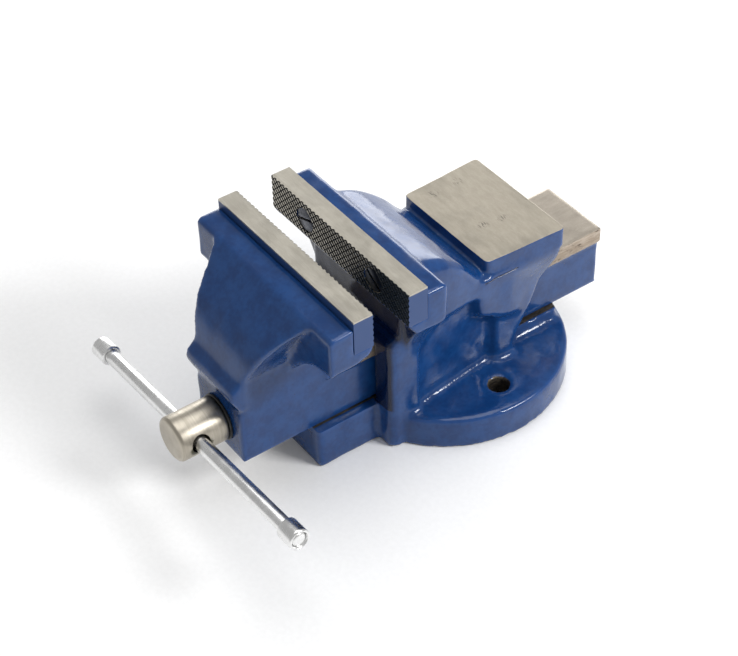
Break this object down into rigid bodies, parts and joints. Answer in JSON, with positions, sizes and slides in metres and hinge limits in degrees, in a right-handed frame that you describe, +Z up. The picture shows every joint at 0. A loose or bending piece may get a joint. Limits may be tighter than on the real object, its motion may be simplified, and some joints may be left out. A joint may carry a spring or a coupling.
{
  "type": "bench vise",
  "caption": "Cast bench vise with a fixed jaw, an anvil block, a sliding jaw driven by a screw and a sliding bar handle, on a round bolt-down base.",
  "frame": {"origin": "centre of the round base flange, midway between the bench bolt holes, on its underside", "axes": "+Z up out of the bench, +Y along the slide from the handle towards the anvil, +X along the jaws to the right as seen from the handle"},
  "size_m": [0.2016, 0.2764, 0.131],
  "materials": {
    "painted_casting": "glossy blue enamel on sand-cast iron, machined faces bare",
    "jaw_steel": "ground top, crosshatched grip face",
    "black_steel": "blackened, slightly oiled",
    "bare_iron": "as cast with machined faces",
    "plain_steel": "turned and lightly oiled",
    "plated_steel": "bright zinc plating"
  },
  "bodies": {
    "base": {"fixed_body": "painted_casting", "fixed_jaw_plate": "jaw_steel", "fixed_plate_screws": "black_steel", "spindle_nut": "bare_iron", "nut_bolts": "black_steel", "nut_bolt_washers": "plain_steel", "nut_lock_washers": "plain_steel"},
    "slide": {"moving_jaw": "painted_casting", "moving_jaw_plate": "jaw_steel", "moving_plate_screws": "black_steel"},
    "screw": {"spindle": "plain_steel", "thrust_washer": "black_steel", "spring_seat_washer": "plain_steel", "spindle_spring": "black_steel", "pin_washer": "plain_steel", "split_pin": "plain_steel"},
    "handle": {"handle_bar": "plated_steel", "handle_cap_left": "plated_steel", "handle_cap_right": "plated_steel"}
  },
  "joints": [
    {"name": "jaw_slide", "type": "slide", "parent": "base", "child": "slide", "axis": [0, 1, 0], "range_m": [-0.1031, 0.022]},
    {"name": "screw_turn", "type": "hinge", "parent": "slide", "child": "screw", "pos_m": [0, -0.1508, 0.0448], "axis": [0, 1, 0], "range_deg": [-7416, 1576]},
    {"name": "handle_slide", "type": "slide", "parent": "screw", "child": "handle", "axis": [0.9968, 0, 0.0802], "range_m": [-0.0802, 0.0696]}
  ],
  "couplings": [
    {"joint": "jaw_slide", "follows": "screw_turn", "m_per_rad": 0.00079577}
  ]
}
